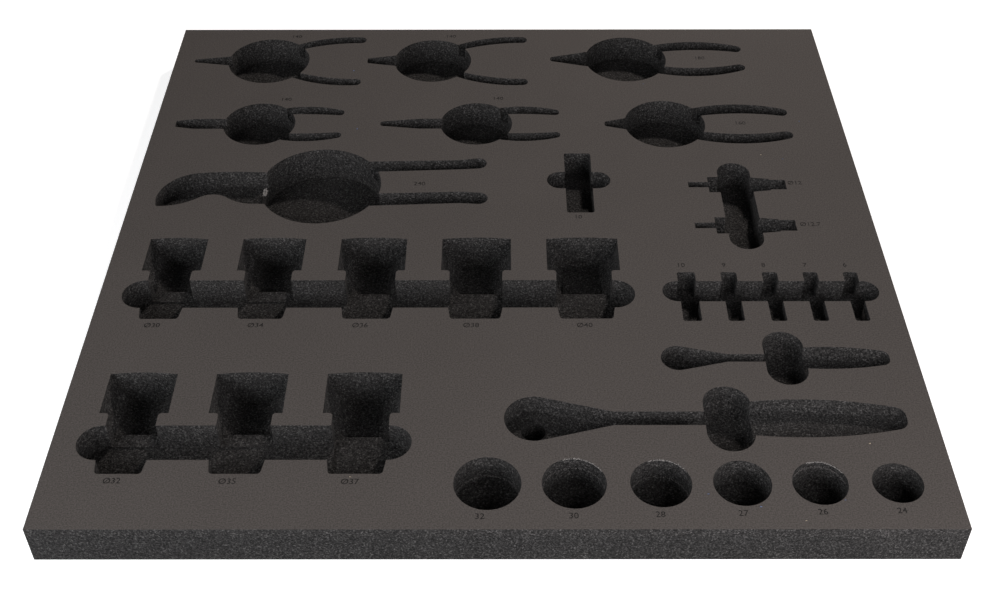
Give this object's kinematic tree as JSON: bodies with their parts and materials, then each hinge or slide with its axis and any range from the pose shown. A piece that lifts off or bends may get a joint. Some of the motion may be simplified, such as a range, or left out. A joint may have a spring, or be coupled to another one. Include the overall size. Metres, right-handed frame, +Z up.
{
  "type": "tool tray insert",
  "caption": "Flat square foam insert for a tool chest drawer, with milled pockets for pliers, ratchets, sockets, bits and shanked tools.",
  "frame": {"origin": "centre of the underside", "axes": "+Z up out of the tool pockets, +Y towards the back of the drawer, +X to the right for someone standing in front of it"},
  "size_m": [0.565, 0.565, 0.03],
  "materials": {
    "top_foam": "matte",
    "core_foam": "matte",
    "base_foam": "matte"
  },
  "bodies": {
    "root": {"base_arbors": "base_foam", "base_back_rack": "base_foam", "base_bits": "base_foam", "base_deep_slot": "base_foam", "base_front_rack": "base_foam", "base_large_ratchet": "base_foam", "base_pliers": "base_foam", "base_slip_joint": "base_foam", "base_small_ratchet": "base_foam", "base_sockets": "base_foam", "core_arbors": "core_foam", "core_back_rack_30": "core_foam", "core_back_rack_34": "core_foam", "core_back_rack_36": "core_foam", "core_back_rack_38": "core_foam", "core_back_rack_40": "core_foam", "core_back_rack_shanks": "core_foam", "core_bits": "core_foam", "core_deep_slot": "core_foam", "core_front_rack_32": "core_foam", "core_front_rack_35": "core_foam", "core_front_rack_37": "core_foam", "core_front_rack_shanks": "core_foam", "core_large_ratchet": "core_foam", "core_pliers_1": "core_foam", "core_pliers_2": "core_foam", "core_pliers_3": "core_foam", "core_pliers_4": "core_foam", "core_pliers_5": "core_foam", "core_pliers_6": "core_foam", "core_slip_joint": "core_foam", "core_small_ratchet": "core_foam", "core_sockets": "core_foam", "top_arbors": "top_foam", "top_back_rack_30": "top_foam", "top_back_rack_34": "top_foam", "top_back_rack_36": "top_foam", "top_back_rack_38": "top_foam", "top_back_rack_40": "top_foam", "top_back_rack_shanks": "top_foam", "top_bits": "top_foam", "top_deep_slot": "top_foam", "top_front_rack_32": "top_foam", "top_front_rack_35": "top_foam", "top_front_rack_37": "top_foam", "top_front_rack_shanks": "top_foam", "top_large_ratchet": "top_foam", "top_pliers_1": "top_foam", "top_pliers_2": "top_foam", "top_pliers_3": "top_foam", "top_pliers_4": "top_foam", "top_pliers_5": "top_foam", "top_pliers_6": "top_foam", "top_slip_joint": "top_foam", "top_small_ratchet": "top_foam", "top_sockets": "top_foam"}
  },
  "joints": []
}
